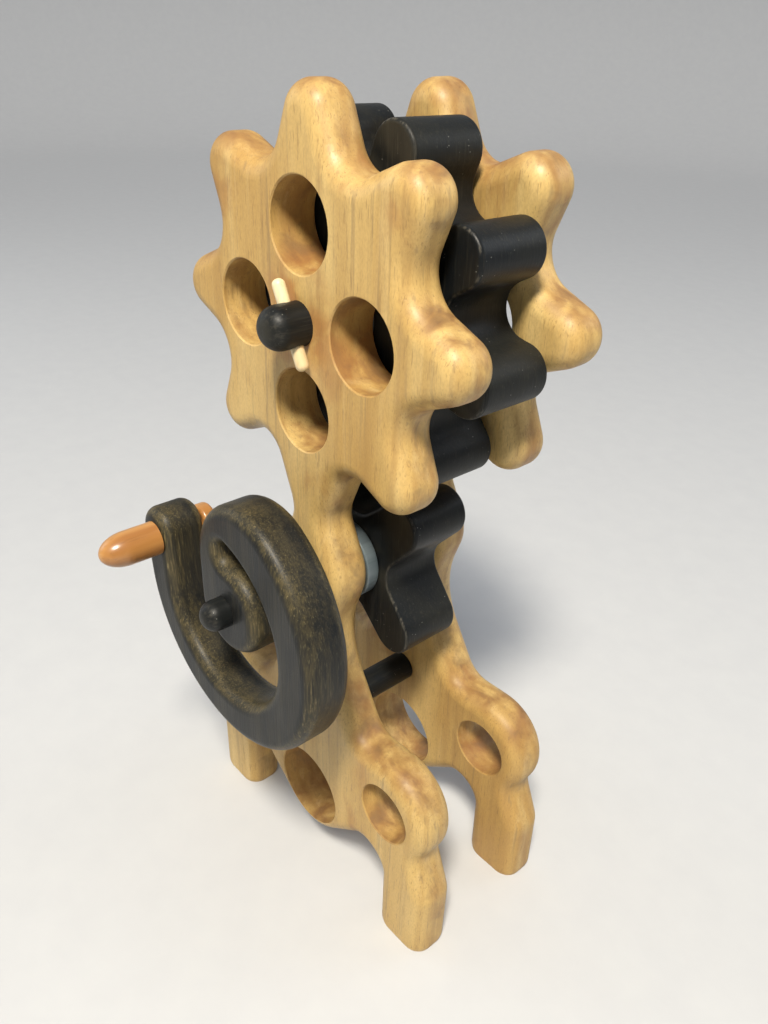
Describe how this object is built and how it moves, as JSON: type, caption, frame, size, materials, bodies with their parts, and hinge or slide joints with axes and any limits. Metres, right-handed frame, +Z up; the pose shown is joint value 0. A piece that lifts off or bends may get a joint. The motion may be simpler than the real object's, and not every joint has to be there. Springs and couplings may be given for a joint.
{
  "type": "hand-cranked wooden gear toy",
  "caption": "Standing wooden gear toy: star-topped twin plates on feet hold a large toothed wheel driven by a lobed pinion and a spiral hand crank.",
  "frame": {"origin": "on the floor, in the middle of the object's footprint, on the plane of symmetry of the plates", "axes": "+X to the right seen from the crank side, +Y from the crank side to the rear along the shafts, +Z up"},
  "size_m": [0.1266, 0.123, 0.2765],
  "materials": {
    "plate_wood": "satin oiled",
    "gear_black": "satin black stain",
    "crank_black": "satin black stain rubbed through to brown grain",
    "grip_wood": "gloss oiled",
    "pin_wood": "satin",
    "plug_wood": "satin oiled",
    "washer_pale": "satin off-white"
  },
  "bodies": {
    "frame": {"front_plate": "plate_wood", "rear_plate": "plate_wood", "spacer_rod": "gear_black", "front_rod_plug": "plug_wood", "rear_rod_plug": "plug_wood"},
    "upper_wheel": {"large_gear": "gear_black", "upper_axle": "gear_black", "large_gear_key": "pin_wood", "upper_front_pin": "pin_wood", "upper_rear_pin": "pin_wood", "upper_front_spacer": "washer_pale", "upper_rear_spacer": "washer_pale"},
    "crank": {"crank_axle": "gear_black", "pinion_gear": "gear_black", "pinion_key": "pin_wood", "pinion_front_spacer": "washer_pale", "pinion_rear_spacer": "washer_pale", "crank_collar": "gear_black", "crank_arm": "crank_black", "crank_key": "pin_wood"},
    "handle": {"crank_handle": "grip_wood", "handle_head": "grip_wood"}
  },
  "joints": [
    {"name": "upper_wheel_spin", "type": "hinge", "parent": "frame", "child": "upper_wheel", "pos_m": [0, 0.02095, 0.2155], "axis": [0, 1, 0], "continuous": true},
    {"name": "crank_spin", "type": "hinge", "parent": "frame", "child": "crank", "pos_m": [0, 0.02095, 0.1313], "axis": [0, 1, 0], "continuous": true},
    {"name": "handle_spin", "type": "hinge", "parent": "crank", "child": "handle", "pos_m": [-0.0415, 0.02095, 0.138], "axis": [0, 1, 0], "continuous": true}
  ],
  "couplings": [
    {"joint": "crank_spin", "follows": "upper_wheel_spin", "ratio": -2.25}
  ]
}
